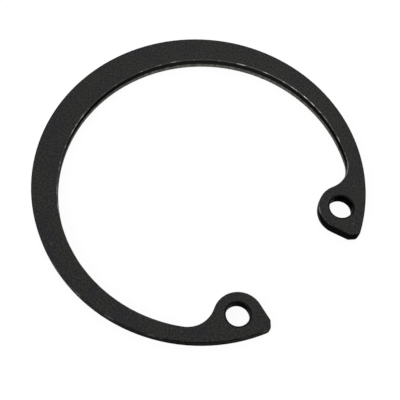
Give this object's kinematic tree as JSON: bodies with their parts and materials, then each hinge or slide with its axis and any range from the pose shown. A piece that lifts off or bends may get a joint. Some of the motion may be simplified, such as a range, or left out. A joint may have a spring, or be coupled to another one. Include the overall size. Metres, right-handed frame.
{
  "type": "wrist pin retaining ring",
  "caption": "Flat open spring-steel ring with a tapering band and a pierced lug at each end, which snaps into a bore groove to hold a wrist pin.",
  "frame": {"origin": "centre of the ring's outer edge, on its lower face", "axes": "+Z along the ring's axis, up through the upper face; +X through the middle of the gap"},
  "size_m": [0.0362, 0.0378, 0.0016],
  "materials": {
    "spring_steel": "black phosphated and oiled spring steel, blanked edges"
  },
  "bodies": {
    "root": {"retaining_ring": "spring_steel"}
  },
  "joints": []
}
